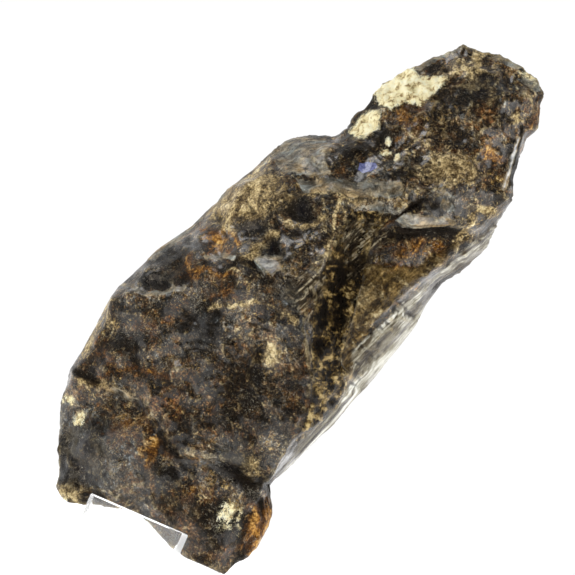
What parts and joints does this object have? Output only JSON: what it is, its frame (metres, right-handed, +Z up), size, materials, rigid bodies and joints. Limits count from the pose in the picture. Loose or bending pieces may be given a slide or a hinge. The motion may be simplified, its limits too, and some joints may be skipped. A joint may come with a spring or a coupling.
{
  "type": "resin opal specimen",
  "caption": "Broken lump of resin opal standing on end and leaning back on a small bent clear acrylic display stand.",
  "frame": {"origin": "middle of the underside of the stand's foot, on the surface that it stands on", "axes": "+Z up, -Y towards the viewer of the stone's front and the stand's low lip, +X to the viewer's right"},
  "size_m": [0.0777, 0.058, 0.1506],
  "materials": {
    "resin_opal": "resinous, dark brown to black with ochre and grey patches",
    "clear_acrylic": "clear, polished"
  },
  "bodies": {
    "root": {"opal_stone": "resin_opal", "acrylic_stand": "clear_acrylic"}
  },
  "joints": []
}
